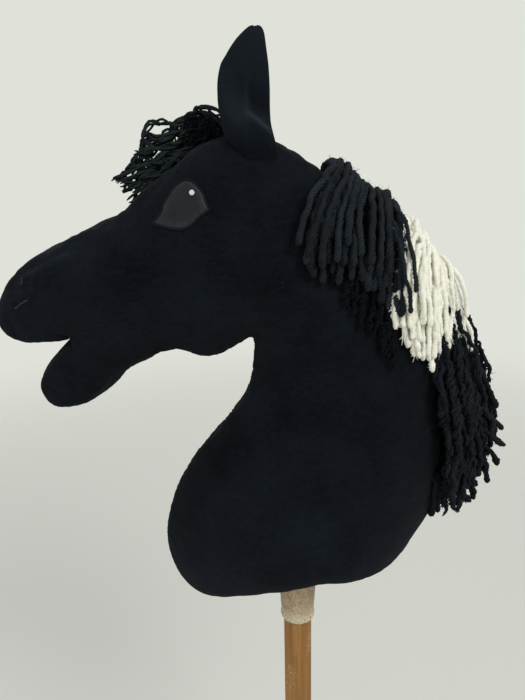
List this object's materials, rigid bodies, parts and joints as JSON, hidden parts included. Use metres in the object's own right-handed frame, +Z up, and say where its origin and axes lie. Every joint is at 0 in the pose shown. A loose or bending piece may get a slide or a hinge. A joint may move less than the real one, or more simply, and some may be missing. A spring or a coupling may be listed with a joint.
{
  "type": "hobby horse",
  "caption": "Stuffed fleece horse head with yarn mane and forelock, ears and open mouth, that lifts off a round wooden stick held in a cloth pocket.",
  "frame": {"origin": "centre of the stick's flat lower end", "axes": "+Z up along the stick, the head faces -X, and the horse's left side is at -Y"},
  "size_m": [0.3846, 0.1174, 0.9287],
  "materials": {
    "black_fleece": "napped black fleece",
    "black_yarn": "plied black yarn",
    "white_yarn": "plied off-white yarn",
    "cream_boucle": "looped cream cloth",
    "wood": "oiled, scuffed",
    "eye_satin": "grey satin",
    "eye_white": "white satin stitch",
    "nostril_thread": "twisted thread",
    "fibre_filling": "loose white fibre"
  },
  "bodies": {
    "stick": {"stick": "wood"},
    "head": {"stick_pocket": "cream_boucle", "base_panel": "black_fleece", "side_panel_left": "black_fleece", "side_panel_right": "black_fleece", "face_gusset": "black_fleece", "mouth_lining": "black_fleece", "chin_gusset": "black_fleece", "neck_stuffing": "fibre_filling", "cheek_stuffing": "fibre_filling", "muzzle_stuffing": "fibre_filling", "lip_stuffing": "fibre_filling", "ear_outer_left": "black_fleece", "ear_inner_left": "black_fleece", "ear_outer_right": "black_fleece", "ear_inner_right": "black_fleece", "eye_left": "eye_satin", "eye_right": "eye_satin", "eye_glint_left": "eye_white", "eye_glint_right": "eye_white", "nostril_left": "nostril_thread", "nostril_right": "nostril_thread", "forelock": "black_yarn", "mane_front": "black_yarn", "mane_middle": "white_yarn", "mane_rear": "black_yarn"}
  },
  "joints": [
    {"name": "head_lift", "type": "slide", "parent": "stick", "child": "head", "axis": [0, 0, 1], "range_m": [0, 0.285]}
  ]
}
